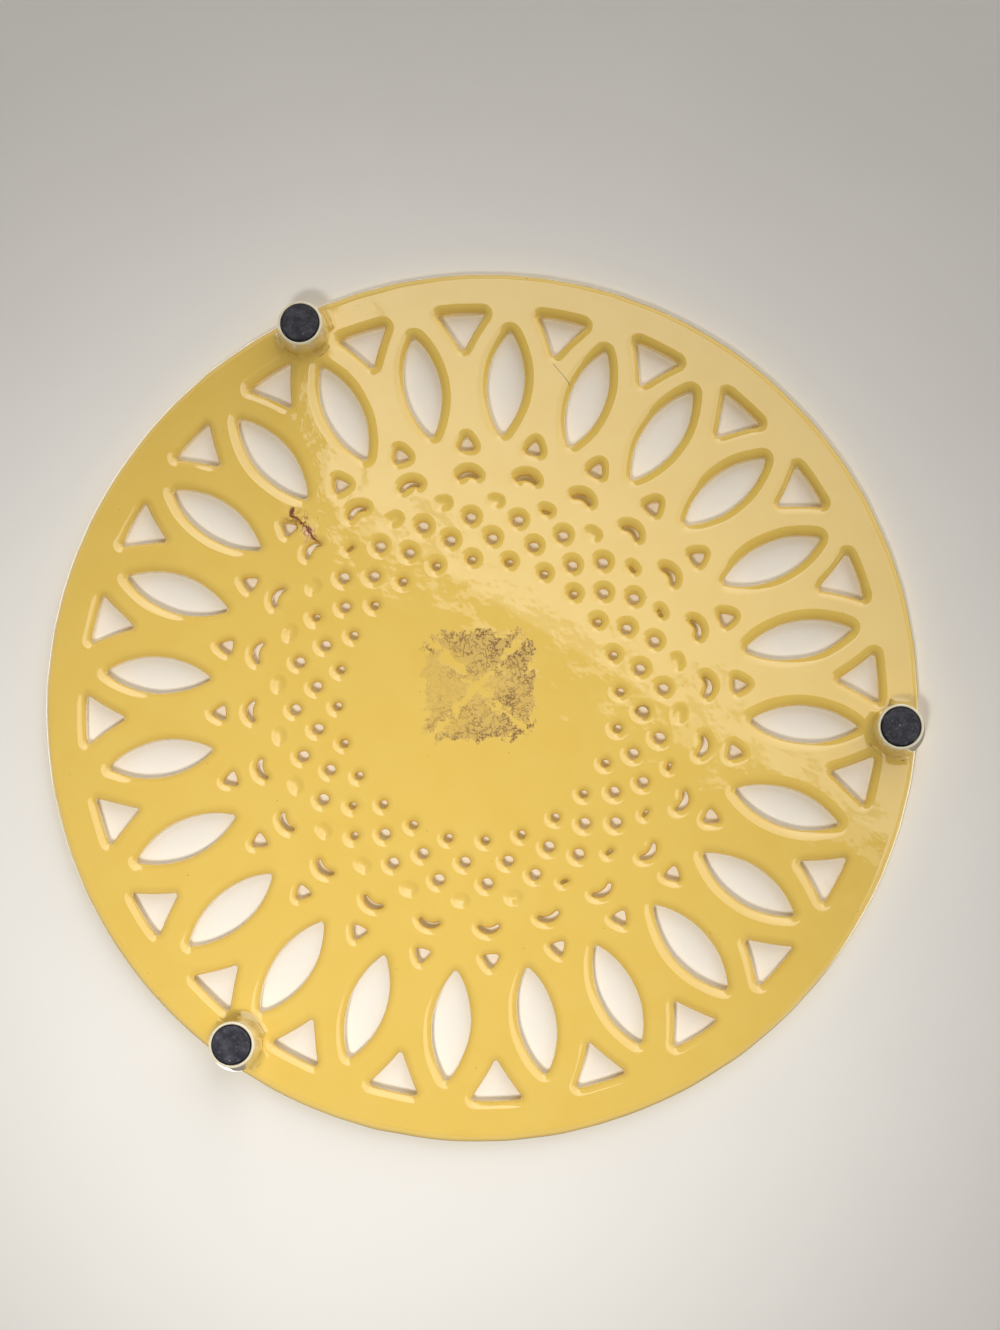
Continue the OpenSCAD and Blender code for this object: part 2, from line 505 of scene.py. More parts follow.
        rust, flake = (mark * under for mark in self._rust(sh, grains))
        colour = sh.mix(flake * self.flake_share, colour, self.primer)
        hole = sh.near(self.rusty_hole, *self.rusty_hole_radii) * grains.grime.step(*self.rusty_hole_span)
        rust = rust.most(hole * self.rusty_hole_share).most(sh.near(self.rim_chip, *self.rim_chip_radii))
        sooty = grains.fine.step(*self.rust_soot_span)
        colour = sh.mix(rust, colour, sh.mix(sooty, self.rust, self.soot))

        relief = grains.flow * self.flow_rise + grains.drops * self.drop_rise + grains.peel * self.peel_rise
        relief = relief - pits * self.pit_depth - crack * self.pit_depth - rust * self.rust_depth
        relief = relief + glue * self.glue_rise + film * self.film_rise
        dull = (glue * self.glue_dulling).most(rust).most(leg_dulling)
        return sh.surface(
            {
                "Base Color": colour,
                "Roughness": dull * self.dull_roughness + self.roughness,
                "IOR": self.refraction,
                "Coat Weight": 1.0 - dull,
                "Coat Roughness": self.coat_roughness,
                "Normal": sh.bump(relief),
            }
        )

    def _leg_distance(self, sh: Shader, legs: Sequence[Vector]) -> Wire:
        """Distance from the nearest leg's axis.

        Args:
            sh: the tree.
            legs: the legs' axes.

        Returns:
            The distance in millimetres.
        """
        flat = sh.vector("MULTIPLY", sh.place, (1, 1, 0))
        nearest = None
        for leg in legs:
            away = sh.vector("DISTANCE", flat, leg, "Value")
            nearest = away if nearest is None else nearest.least(away)
        return nearest

    def _leg_wear(
        self, sh: Shader, grains: Grains, colour: Wire, height: Wire, around: Wire, leg_r: float
    ) -> tuple[Wire, Wire]:
        """Adds stained fillets, dirty legs that are paler towards their ends (partly rubbed enamel, partly
        painted light), dark edges of their sockets and scrapes round them.

        Args:
            sh: the tree.
            grains: its noises.
            colour: colour of the clean enamel.
            height: height above the legs' ends.
            around: distance from the nearest leg's axis.
            leg_r: radius of a leg at the plate.

        Returns:
            The colour with its wear and painted light, and how much gloss the wear takes.
        """
        fillet = around.step(leg_r + self.fillet_reach, leg_r) * height.step(*self.fillet_heights)
        fillet = fillet * grains.grime.step(*self.fillet_span)
        colour = sh.mix(fillet * self.fillet_share, colour, self.stain)
        # Legs painted paler towards their ends: partly rubbed enamel, partly painted light standing in for
        # light scattered onto their sides. The end ring is real wear.
        low, ring = height.step(*self.rubbed_and_lit_heights), height.step(*self.ring_heights)
        colour = sh.mix((low * self.rubbed_and_lit_share).most(ring), colour, self.worn_and_lit)
        dirt = low * sh.grain(*self.dirt_grain).step(*self.dirt_span)
        colour = sh.mix(dirt * self.dirt_share, colour, self.stain)
        socket = ring * around.step(*self.socket_radii)
        scrape = abs(around - self.scrape_r - grains.drops * self.scrape_sway).step(*self.scrape_widths)
        scrape = scrape * sh.grain(*self.scrape_grain).step(*self.scrape_span)
        scrape = scrape * height.step(*self.scrape_heights)
        dark = (socket * self.socket_share).most(scrape * self.scrape_share)
        return sh.mix(dark, colour, self.soot), (dirt * self.dirt_dulling).most(ring * self.ring_dulling)

    def _sticker(self, sh: Shader, grains: Grains) -> tuple[Wire, Wire]:
        """Ragged square of old glue, split by a bare cross from corner to corner and half rubbed away.

        Args:
            sh: the tree.
            grains: its noises.

        Returns:
            Masks of the thin glue and of the dirty folds of film in it.
        """
        along, across = sh.turned(self.sticker_at, self.sticker_turn)
        fray = sh.grain(*self.fray_grain) * self.fray - self.fray / 2
        edge = abs(along).most(abs(across)) + fray * self.edge_fray_share
        half = self.sticker_side / 2
        bare = (abs(abs(along) - abs(across)) + fray).step(*self.cross_widths)
        whole = edge.step(half, half - self.sticker_edge) * bare
        slant = abs(across) * self.rubbing_across - along * self.rubbing_along
        patchy = sh.grain(*self.rubbing_grain) * self.rubbing_noise
        left = (slant + patchy - self.rubbing_start).most(0.0).least(1.0)
        folds = sh.veins(self.fold_size, *self.fold_widths)
        (glue_least, glue_more), (film_least, film_more) = self.glue_shares, self.film_shares
        glue = whole * (glue_least + left * glue_more) * grains.fine.step(*self.glue_span)
        return glue, whole * folds * (film_least + left * film_more)

    def _rust(self, sh: Shader, grains: Grains) -> tuple[Wire, Wire]:
        """Rusty cracks beside a flake of bared pink ground coat.

        Args:
            sh: the tree.
            grains: its noises.

        Returns:
            Masks of the rust and of the ground coat.
        """
        sway = (grains.drops - 0.5) * self.rust_sway
        run = sh.line(self.rust_run, self.rust_w, sway + (grains.fine - 0.5) * self.rust_fray)
        patch = sh.line(self.rust_run, self.rust_patch_w, sway)
        veins = sh.veins(self.rust_vein_size, *self.rust_vein_widths)
        flake = sh.near(self.flake_at, *self.flake_radii)
        return run.most(patch * veins * self.rust_vein_share), flake * patch


@dataclass(frozen=True)
class RubberFinish:
    """Old black rubber with pale crumbs and a dusty face. Its values are named as the enamel's are."""

    colour: tuple = (0.026, 0.026, 0.036)
    dust: tuple = (0.15, 0.15, 0.19)
    crumb: tuple = (0.42, 0.41, 0.42)
    roughness: float = 0.62
    rougher: float = 0.2
    cloud_grain: tuple = (2.6, 3.0)
    cloud_span: tuple = (0.35, 0.75)
    cloud_share: float = 0.35
    cloud_rise: float = 0.30
    dust_grain: tuple = (0.8, 4.0, 0.7)
    dust_span: tuple = (0.54, 0.66)
    dust_share: float = 0.6
    dust_rise: float = 0.20
    crumb_spacing: float = 2.4
    crumb_size: float = 0.09
    crumb_share: float = 0.8

    def material(self) -> bpy.types.Material:
        """Builds the rubber."""
        sh = Shader("black_rubber")
        grit, clouds = sh.grain(*self.dust_grain), sh.grain(*self.cloud_grain)
        colour = sh.mix(clouds.step(*self.cloud_span) * self.cloud_share, self.colour, self.dust)
        colour = sh.mix(grit.step(*self.dust_span) * self.dust_share, colour, self.dust)
        crumbs = sh.specks(self.crumb_spacing, self.crumb_size)
        return sh.surface(
            {
                "Base Color": sh.mix(crumbs * self.crumb_share, colour, self.crumb),
                "Roughness": self.roughness + grit * self.rougher,
                "Normal": sh.bump(grit * self.dust_rise + clouds * self.cloud_rise),
            }
        )


@dataclass(frozen=True)
class FloorFinish:
    """Plain pale floor that shows from one side only, so that a camera on its other side sees the trivet."""

    colour: tuple = (0.88, 0.865, 0.84)
    shade_share: float = 0.94
    shade_grain: tuple = (60, 3.0)
    roughness: float = 0.85

    def material(self) -> bpy.types.Material:
        """Builds the floor's paint, clear on its back."""
        sh = Shader("pale_floor")
        shade = tuple(self.shade_share * part for part in self.colour)
        paint = sh.mix(sh.grain(*self.shade_grain), self.colour, shade)
        front = sh.node("ShaderNodeBsdfPrincipled", inputs={"Base Color": paint, "Roughness": self.roughness})
        clear = sh.node("ShaderNodeBsdfTransparent")
        back = sh.node("ShaderNodeNewGeometry", output="Backfacing")
        sides = sh.node("ShaderNodeMixShader", inputs={0: back, 1: front, 2: clear})
        sh.end_in("ShaderNodeOutputMaterial", sides)
        return sh.material


# Mesh kit


def finished(name: str, mesh: bmesh.types.BMesh, material: bpy.types.Material) -> bpy.types.Object:
    """Brings a mesh in millimetres to metres and makes its object.

    Args:
        name: the piece's name.
        mesh: its mesh, which is used up.
        material: its finish.

    Returns:
        The object, at the origin.
    """
    bmesh.ops.scale(mesh, vec=(MM,) * 3, verts=mesh.verts)
    bmesh.ops.recalc_face_normals(mesh, faces=mesh.faces)
    for face in mesh.faces:
        face.smooth = True
    data = bpy.data.meshes.new(name)
    mesh.to_mesh(data)
    mesh.free()
    data.set_sharp_from_angle(angle=CRISP_ANGLE)
    data.materials.append(material)
    piece = bpy.data.objects.new(name, data)
    bpy.context.scene.collection.objects.link(piece)
    return piece


def chain(mesh: bmesh.types.BMesh, points: Sequence[Vector]) -> list:
    """Draws an open line of edges.

    Args:
        mesh: the mesh that it goes into.
        points: its points in order.

    Returns:
        Its vertices and edges.
    """
    verts = [mesh.verts.new(point) for point in points]
    return verts + [mesh.edges.new(pair) for pair in zip(verts, verts[1:])]


def spun(mesh: bmesh.types.BMesh, line: list, centre: Vector, angle: float, steps: int) -> list:
    """Turns a line about an upright axis, leaving faces behind it.

    Args:
        mesh: the mesh that holds the line.
        line: the line's vertices and edges.
        centre: a point of the axis.
        angle: how far it turns, in radians.
        steps: how many faces that takes.

    Returns:
        The line at the end of the turn.
    """
    whole = math.isclose(abs(angle), math.tau)
    turn = bmesh.ops.spin(
        mesh, geom=line, cent=centre, axis=UP, dvec=(0, 0, 0), angle=angle, steps=steps, use_merge=whole
    )
    return [part for part in turn["geom_last"] if not isinstance(part, bmesh.types.BMFace)]


def revolved(mesh: bmesh.types.BMesh, profile: Sequence[tuple], steps: int) -> None:
    """Turns a profile all the way round the upright axis at the origin.

    Args:
        mesh: the mesh that it goes into.
        profile: the profile's points, each a radius and a height.
        steps: how many faces the turn takes.
    """
    spun(mesh, chain(mesh, [Vector((r, 0, z)) for r, z in profile]), Vector(), math.tau, steps)
    bmesh.ops.remove_doubles(mesh, verts=mesh.verts, dist=WELD)


def join(whole: bmesh.types.BMesh, part: bmesh.types.BMesh, placing: Matrix) -> None:
    """Adds a part to a larger mesh.

    Args:
        whole: the larger mesh.
        part: the part, which is used up.
        placing: where it goes.
    """
    bmesh.ops.transform(part, matrix=placing, verts=part.verts)
    carrier = bpy.data.meshes.new("part")
    part.to_mesh(carrier)
    part.free()
    whole.from_mesh(carrier)
    bpy.data.meshes.remove(carrier)


def quarter(steps: int) -> list[float]:
    """Angles from 0 to a right angle, in radians, ends included."""
    return [math.pi / 2 * i / steps for i in range(steps + 1)]


# Trivet


class Level(NamedTuple):
    """One ring of an opening's wall: its offset from the throat and its height above the underside."""

    offset: float
    height: float


class End(Enum):
    """How an opening ends."""

    THROUGH = "comes out in the pot face"
    BLIND = "has a floor"


@dataclass(frozen=True)
class Opening:
    """One kind of opening, drawn where its ring crosses +X: x is the radius, and y lies along the ring.

    Attributes:
        name: what it is called.
        corners: sharp corners of its core outline, anticlockwise. A round hole has one, its middle.
        sides: radius of the arc from each corner to the next, negative if it bows inwards.
        corner_r: how far outside the core outline the throat runs.
        turn_share: how far its ring is turned from the first leg, as a share of a repeat.
        side_steps: faces along a side.
        corner_steps: faces round a corner.
        pierced: the copies that go through, or None for all of them.
        tight: the copies that enamel has nearly closed.
        mouth_w: width of the rounded mouth round the throat.
    """

    name: str
    corners: tuple
    sides: tuple = ()
    corner_r: float = 0.6
    turn_share: float = 0.0
    side_steps: int = 8
    corner_steps: int = 6
    pierced: tuple | None = None
    tight: tuple = ()
    mouth_w: float = 1.95

    def turns(self) -> tuple[Vector, Vector, list]:
        """Works out the turns that carry a wall's section round the outline.

        Returns:
            The first corner, the outward direction there, and (centre, angle, steps) of each turn.
        """
        points = [Vector((*corner, 0)) for corner in self.corners]
        if not self.sides:
            return points[0], Vector((1, 0, 0)), [(points[0], math.tau, self.corner_steps)]
        arcs = []
        for start, end, radius in zip(points, points[1:] + points[:1], self.sides):
            half = (end - start).length / 2
            inward = UP.cross(end - start).normalized() * math.copysign(1, radius)
            centre = (start + end) / 2 + inward * math.sqrt(radius * radius - half * half)
            sweep = math.copysign(2 * math.asin(half / abs(radius)), radius)
            arcs.append((centre, sweep, (start - centre) / radius, (end - centre) / radius, end))
        turns = []
        for (centre, sweep, _, leaves, corner), (_, _, meets, _, _) in zip(arcs, arcs[1:] + arcs[:1]):
            turns.append((centre, sweep, self.side_steps))
            bend = math.atan2(leaves.cross(meets).z, leaves.dot(meets)) % math.tau
            turns.append((corner, bend, self.corner_steps))
        return points[0], arcs[0][2], turns

    def middle(self) -> Vector:
        """Middle of the outline's corners."""
        return sum((Vector((*corner, 0)) for corner in self.corners), Vector()) / len(self.corners)

    def end_of(self, copy: int) -> End:
        """Whether a copy goes through the plate."""
        return End.THROUGH if self.pierced is None or copy in self.pierced else End.BLIND


@dataclass
class EnamelCasting:
    """The pierced plate and its three legs, one iron casting under one coat of enamel.

    Sizes are in millimetres and angles in degrees. An uneven value is how far one copy may differ from the
    drawn one. The triangle_corner values say where the nearest triangle's corner lies from a leg's axis.
    """

    plate_r: float = 112.5
    plate_t: float = 5.0
    rim_edge_r: float = 1.8
    rim_edge_steps: int = 7
    rim_steps: int = 300
    flat_margin: float = 0.25
    mouth_h: float = 1.65
    mouth_steps: tuple = (0, 12, 24, 36, 50, 64, 77, 90)
    tight_by: float = 0.45
    top_edge: float = 0.5
    top_edge_steps: int = 3
    dimple_depth: float = 0.65
    dimple_middle: float = 0.07
    dimple_steps: int = 12
    repeats: int = 24
    uneven_size: float = 0.02
    uneven_turn: float = 1.0
    uneven_place: float = 0.12
    wobble: float = 0.16
    wobble_size: float = 7.0
    seed: int = 24
    leg_angles: tuple = (90.0, 210.0, 330.0)
    leg_circle_r: float = 107.6
    leg_tip_r: float = 5.8
    leg_base_r: float = 6.6
    leg_steps: int = 96
    leg_taper_steps: int = 4
    leg_wear: float = 0.3
    leg_wear_steps: int = 4
    leg_fillet_r: float = 2.2
    leg_fillet_steps: int = 9
    leg_root: tuple = ((0.3, 1.0), (0.9, 1.9), (2.0, 2.9), (3.6, 3.6))
    leg_root_start: float = 0.1
    leg_root_top: float = 4.0
    triangle_corner_away: float = 9.6
    triangle_corner_bearing: float = 127.0
    triangle_corner_r: float = 0.8
    socket_r: float = 5.0
    socket_top: float = 6.8
    socket_edge: tuple = ((0.04, 0.12), (0.15, 0.0))
    finish: EnamelFinish = field(default_factory=EnamelFinish)
    openings: tuple = (
        Opening(
            "triangle", ((101.45, -5.5), (101.45, 5.5), (93.0, 0)), (101.6, -60, -60),
            corner_r=0.7, turn_share=0.5, mouth_w=2.3,
        ),
        Opening("almond", ((96.3, 0), (70.9, 0)), (22.6, 22.6), corner_r=0.9, side_steps=16, mouth_w=2.5),
        Opening(
            "dart", ((68.5, 0), (66.25, 1.25), (66.25, -1.25)), (8, 8, 8),
            turn_share=0.5, side_steps=4, corner_steps=5,
        ),
        Opening(
            "crescent", ((58.4, -2.25), (58.4, 2.25)), (2.71, -4.2),
            corner_r=0.5, turn_share=0.5, side_steps=9,
        ),
        Opening(
            "seed", ((51.9, -0.6), (51.9, 0.6)), (-6, 3),
            corner_r=0.4, side_steps=6, pierced=(3, 5, 6, 9, 10, 11, 12, 23),
        ),
        Opening("outer_hole", ((47.5, 0),), corner_r=1.4, turn_share=0.5, corner_steps=20, tight=(16, 21)),
        Opening("middle_hole", ((42.2, 0),), corner_r=1.35, corner_steps=20, tight=(17,)),
        Opening("inner_hole", ((36.5, 0),), corner_r=1.05, turn_share=0.5, corner_steps=20),
    )

    def __post_init__(self) -> None:
        """Takes the plate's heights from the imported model."""
        low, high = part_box("casting")
        self.leg_end = low.z / MM
        self.top_z = high.z / MM
        self.underside_z = self.top_z - self.plate_t
        self.triangle = next(kind for kind in self.openings if kind.name == "triangle")

    def legs(self) -> list[Vector]:
        """Points of the legs' axes."""
        out = Vector((self.leg_circle_r, 0, 0))
        return [Matrix.Rotation(math.radians(angle), 3, "Z") @ out for angle in self.leg_angles]

    def wall(self, kind: Opening, tight: bool) -> list[Level]:
        """Section of the wall of an opening that goes through, from the underside inwards.

        Args:
            kind: the opening.
            tight: whether enamel has nearly closed it.

        Returns:
            The section's levels.
        """
        throat = -self.tight_by if tight else 0.0
        levels = [Level(kind.mouth_w + self.flat_margin, 0)]
        for turn in map(math.radians, self.mouth_steps):
            out = (kind.mouth_w - throat) * (1 - math.sin(turn))
            levels.append(Level(throat + out, self.mouth_h * (1 - math.cos(turn))))
        edge = self.top_edge
        for turn in quarter(self.top_edge_steps):
            out = throat + edge * (1 - math.cos(turn))
            levels.append(Level(out, self.plate_t - edge + edge * math.sin(turn)))
        return levels + [Level(throat + edge + self.flat_margin, self.plate_t)]

    def dimple(self, kind: Opening) -> list[Level]:
        """Section of a blind opening, which enamel has filled to a shallow dimple.

        Args:
            kind: the opening.

        Returns:
            The section's levels.
        """
        levels = [Level(kind.mouth_w + self.flat_margin, 0)]
        reach = kind.mouth_w + kind.corner_r - self.dimple_middle
        for step in range(self.dimple_steps + 1):
            share = step / self.dimple_steps
            fall = self.dimple_depth * (1 - math.cos(math.pi * share)) / 2
            levels.append(Level(kind.mouth_w - reach * share, fall))
        return levels

    def placing(self, kind: Opening, copy: int, chance: random.Random) -> Matrix:
        """Where one copy of an opening lies, with the small differences that the founder left.

        Args:
            kind: the opening.
            copy: which of its ring it is, counted from the first leg.
            chance: source of the differences.

        Returns:
            The copy's placement.
        """
        size = 1 + chance.uniform(-self.uneven_size, self.uneven_size)
        tilt = Matrix.Rotation(math.radians(chance.uniform(-self.uneven_turn, self.uneven_turn)), 4, "Z")
        aside = [chance.uniform(-self.uneven_place, self.uneven_place) for _ in range(2)]
        shift = Matrix.Translation((*aside, 0))
        degrees = self.leg_angles[0] + 360 / self.repeats * (copy + kind.turn_share)
        there, back = Matrix.Translation(kind.middle()), Matrix.Translation(-kind.middle())
        round_plate = Matrix.Rotation(math.radians(degrees), 4, "Z")
        return round_plate @ shift @ there @ tilt @ Matrix.Diagonal((size, size, 1, 1)) @ back

    def cut(self, kind: Opening, levels: Sequence[Level], closed: bool) -> bmesh.types.BMesh:
        """Carries a section round an opening's outline.

        Args:
            kind: the opening.
            levels: the section's levels.
            closed: whether its far end is closed by a face.

        Returns:
            The opening's mesh, on the radius along +X.
        """
        part = bmesh.new()
        start, out, turns = kind.turns()
        section = [start + out * (kind.corner_r + level.offset) + UP * level.height for level in levels]
        line = chain(part, section)
        for centre, angle, steps in turns:
            line = spun(part, line, centre, angle, steps)
        bmesh.ops.remove_doubles(part, verts=part.verts, dist=WELD)
        if closed:
            floor = max(level.height for level in levels) - WELD
            free = [edge for edge in part.edges if not edge.is_manifold]
            rim = [edge for edge in free if min(vert.co.z for vert in edge.verts) > floor]
            bmesh.ops.holes_fill(part, edges=rim, sides=0)
        return part

    def add_openings(self, whole: bmesh.types.BMesh) -> None:
        """Adds the walls of all the openings.

        Args:
            whole: the casting's mesh.
        """
        chance = random.Random(self.seed)
        for kind in self.openings:
            for copy in range(self.repeats):
                blind = kind.end_of(copy) is End.BLIND
                placing = self.placing(kind, copy, chance)
                levels = self.dimple(kind) if blind else self.wall(kind, copy in kind.tight)
                join(whole, self.cut(kind, levels, blind), placing)

    def patches(self) -> bmesh.types.BMesh:
        """Makes a flat patch the size of each opening's end in the pot face.

        Returns:
            The patches' mesh, at height 0.
        """
        mesh, chance = bmesh.new(), random.Random(self.seed)
        for kind in self.openings:
            for copy in range(self.repeats):
                placing = self.placing(kind, copy, chance)
                join(mesh, self.cut(kind, [Level(self.top_edge, 0)], True), placing)
        return mesh

    def add_rim(self, whole: bmesh.types.BMesh) -> None:
        """Adds the rounded rim.

        Args:
            whole: the casting's mesh.
        """
        inner, edge = self.plate_r - self.rim_edge_r, self.rim_edge_r
        turns = quarter(self.rim_edge_steps)
        lower = [Vector((inner + edge * math.sin(turn), 0, edge * (1 - math.cos(turn)))) for turn in turns]
        upper = [Vector((point.x, 0, self.plate_t - point.z)) for point in reversed(lower)]
        flat = Vector((inner - self.flat_margin, 0, 0))
        points = [flat, *lower, *upper, flat + UP * self.plate_t]
        spun(whole, chain(whole, points), Vector(), math.tau, self.rim_steps)

    def fill_faces(self, whole: bmesh.types.BMesh) -> None:
        """Fills the underside and the pot face between all the openings.

        Args:
            whole: the casting's mesh.
        """
        for height in (0, self.plate_t):
            edges = [edge for edge in whole.edges if edge.is_boundary]
            rims = [edge for edge in edges if abs(edge.verts[0].co.z - height) < self.flat_margin]
            bmesh.ops.triangle_fill(whole, use_beauty=True, use_dissolve=False, normal=UP, edges=rims)

    def wobbled(self, whole: bmesh.types.BMesh) -> None:
        """Makes the outlines slightly uneven, as sand casting and thick enamel leave them.

        Args:
            whole: the casting's mesh.
        """
        noise.seed_set(self.seed)
        for vert in whole.verts:
            drift = noise.noise_vector(vert.co / self.wobble_size) * self.wobble
            vert.co += Vector((drift.x, drift.y, 0))

    def room_for_fillet(self, direction: float) -> float:
        """Share of a leg's fillet that fits in one direction, before the rim or a triangle's mouth.

        Args:
            direction: angle from the outward radius, in radians.

        Returns:
            From 0 to 1.
        """
        reach = self.leg_base_r + self.leg_fillet_r
        flat_left = self.plate_r - self.rim_edge_r - self.leg_circle_r
        if math.cos(direction) > 0:
            reach = min(reach, flat_left / math.cos(direction))
        mouth = self.triangle.mouth_w + self.triangle_corner_r
        off = abs(abs(math.remainder(direction, math.tau)) - math.radians(self.triangle_corner_bearing))
        aside, ahead = self.triangle_corner_away * math.sin(off), self.triangle_corner_away * math.cos(off)
        if aside < mouth and off < math.pi / 2:
            reach = min(reach, ahead - math.sqrt(mouth * mouth - aside * aside))
        return max(0.0, min(1.0, (reach - self.leg_base_r) / self.leg_fillet_r))

    def leg_profile(self) -> list[tuple]:
        """Section of a leg: its socket, worn end, tapered side, fillet and a root inside the plate.

        Returns:
            Its points, each a radius and a height.
        """
        end, under = self.leg_end, self.underside_z
        tip, base, fillet, wear = self.leg_tip_r, self.leg_base_r, self.leg_fillet_r, self.leg_wear
        points = [(0, self.socket_top), (self.socket_r, self.socket_top), (self.socket_r, end + wear)]
        points += [(self.socket_r + out, end + rise) for out, rise in self.socket_edge]
        for turn in quarter(self.leg_wear_steps):
            points.append((tip - wear + wear * math.sin(turn), end + wear * (1 - math.cos(turn))))
        for step in range(1, self.leg_taper_steps + 1):
            share = step / self.leg_taper_steps
            points.append((tip + (base - tip) * share, end + wear + (under - fillet - end - wear) * share))
        for turn in quarter(self.leg_fillet_steps)[1:]:
            points.append((base + fillet * (1 - math.cos(turn)), under - fillet + fillet * math.sin(turn)))
        points.append((base + fillet, under + self.leg_root_start))
        points += [(base - inward, under + rise) for inward, rise in self.leg_root]
        return points + [(0, under + self.leg_root_top)]

    def add_leg(self, whole: bmesh.types.BMesh, degrees: float) -> None:
        """Adds one hollow-ended leg, its fillet drawn in where it has no room.

        Args:
            whole: the casting's mesh.
            degrees: where round the plate it stands.
        """
        part, base = bmesh.new(), self.leg_base_r
        revolved(part, self.leg_profile(), self.leg_steps)
        for vert in part.verts:
            reach = math.hypot(vert.co.x, vert.co.y)
            if reach > base:
                kept = base + (reach - base) * self.room_for_fillet(math.atan2(vert.co.y, vert.co.x))
                vert.co.x, vert.co.y = vert.co.x * kept / reach, vert.co.y * kept / reach
        turn = Matrix.Rotation(math.radians(degrees), 4, "Z")
        join(whole, part, turn @ Matrix.Translation((self.leg_circle_r, 0, 0)))

    def build(self) -> bpy.types.Object:
        """Builds and dresses the casting.

        Returns:
            The piece.
        """
        whole = bmesh.new()
        self.add_openings(whole)
        self.add_rim(whole)
        self.fill_faces(whole)
        self.wobbled(whole)
        bmesh.ops.translate(whole, vec=(0, 0, self.underside_z), verts=whole.verts)
        for degrees in self.leg_angles:
            self.add_leg(whole, degrees)
        material = self.finish.material(self.legs(), self.leg_base_r, self.leg_end)
        piece = finished("enamel_casting", whole, material)
        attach(piece, "root")
        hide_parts("casting")
        return piece


@dataclass
class RubberPlug:
    """One rubber plug, seated in a leg. Its face and the edge round it are worn uneven."""

    number: int
    axis: Vector
    radius: float = 4.84
    length: float = 6.8
    edge_r: float = 0.4
    edge_steps: int = 4
    face_ring_shares: tuple = (0, 0.12, 0.25, 0.4, 0.55, 0.7, 0.82, 0.92)
    side_rings: tuple = (0.9, 1.6)
    steps: int = 72
    worn_h: float = 1.2
    crumble: float = 0.09
    crumble_size: float = 1.3
    crumble_layers: int = 3
    side_wear: float = 2.0
    finish: RubberFinish = field(default_factory=RubberFinish)

    def build(self) -> bpy.types.Object:
        """Builds and dresses the plug.

        Returns:
            The piece.
        """
        mesh = bmesh.new()
        face, edge = self.radius - self.edge_r, self.edge_r
        points = [(face * share, 0) for share in self.face_ring_shares]
        for turn in quarter(self.edge_steps):
            points.append((face + edge * math.sin(turn), edge * (1 - math.cos(turn))))
        points += [(self.radius, height) for height in (*self.side_rings, self.length)]
        revolved(mesh, points + [(0, self.length)], self.steps)
        for vert in mesh.verts:
            if vert.co.z < self.worn_h:
                place = (vert.co + self.axis) / self.crumble_size
                worn_and_lit = abs(noise.fractal(place, 1.0, 2.0, self.crumble_layers)) * self.crumble
                kept = 1 - self.side_wear * worn_and_lit / self.radius
                vert.co = Vector((vert.co.x * kept, vert.co.y * kept, vert.co.z + worn_and_lit))
        bmesh.ops.translate(mesh, vec=self.axis, verts=mesh.verts)
        piece = finished(f"rubber_foot_{self.number}", mesh, self.finish.material())
        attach(piece, "root")
        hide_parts(f"rubber_plug_{self.number}")
        return piece


# Studio


@dataclass(frozen=True)
class Lamp:
    """One soft light.

    Attributes:
        name: its name.
        at: its place, in millimetres.
        to: the point that it faces.
        power: its power in watts.
        colour: its colour.
    """

    name: str
    at: tuple
    to: tuple
    power: float
    colour: tuple

    def light(self) -> bpy.types.Light:
        """Makes its light, each kind of lamp in its own way."""
        raise NotImplementedError

    def mirrored(self) -> bool:
        """Whether reflections see it."""
        return True

    def hang(self) -> None:
        """Adds the light to the scene."""
        data = self.light()
        data.energy, data.color = self.power, self.colour
        lamp = bpy.data.objects.new(self.name, data)
        toward = (Vector(self.to) - Vector(self.at)).to_track_quat("-Z", "Y")
        lamp.matrix_world = Matrix.Translation(Vector(self.at) * MM) @ toward.to_matrix().to_4x4()
        lamp.visible_glossy = self.mirrored()
        bpy.context.scene.collection.objects.link(lamp)


@dataclass(frozen=True)
class SoftBox(Lamp):
    """A square soft box, whose side is in metres."""

    side: float = 1.0

    def light(self) -> bpy.types.Light:
        """Makes its light."""
        data = bpy.data.lights.new(self.name, "AREA")
        data.shape, data.size, data.size_y = "RECTANGLE", self.side, self.side
        return data


@dataclass(frozen=True)
class SoftSpot(Lamp):
    """A spotlight with a soft edge, which casts no highlight.

    Attributes:
        cone: its angle in degrees.
        blend: how much of the cone is its soft edge, from 0 to 1.
        radius: its radius in metres.
    """

    cone: float = 25.0
    blend: float = 1.0
    radius: float = 0.09

    def light(self) -> bpy.types.Light:
        """Makes its light."""
        data = bpy.data.lights.new(self.name, "SPOT")
        data.spot_size, data.spot_blend = math.radians(self.cone), self.blend
        data.shadow_soft_size = self.radius
        return data

    def mirrored(self) -> bool:
        """Whether reflections see it."""
        return False


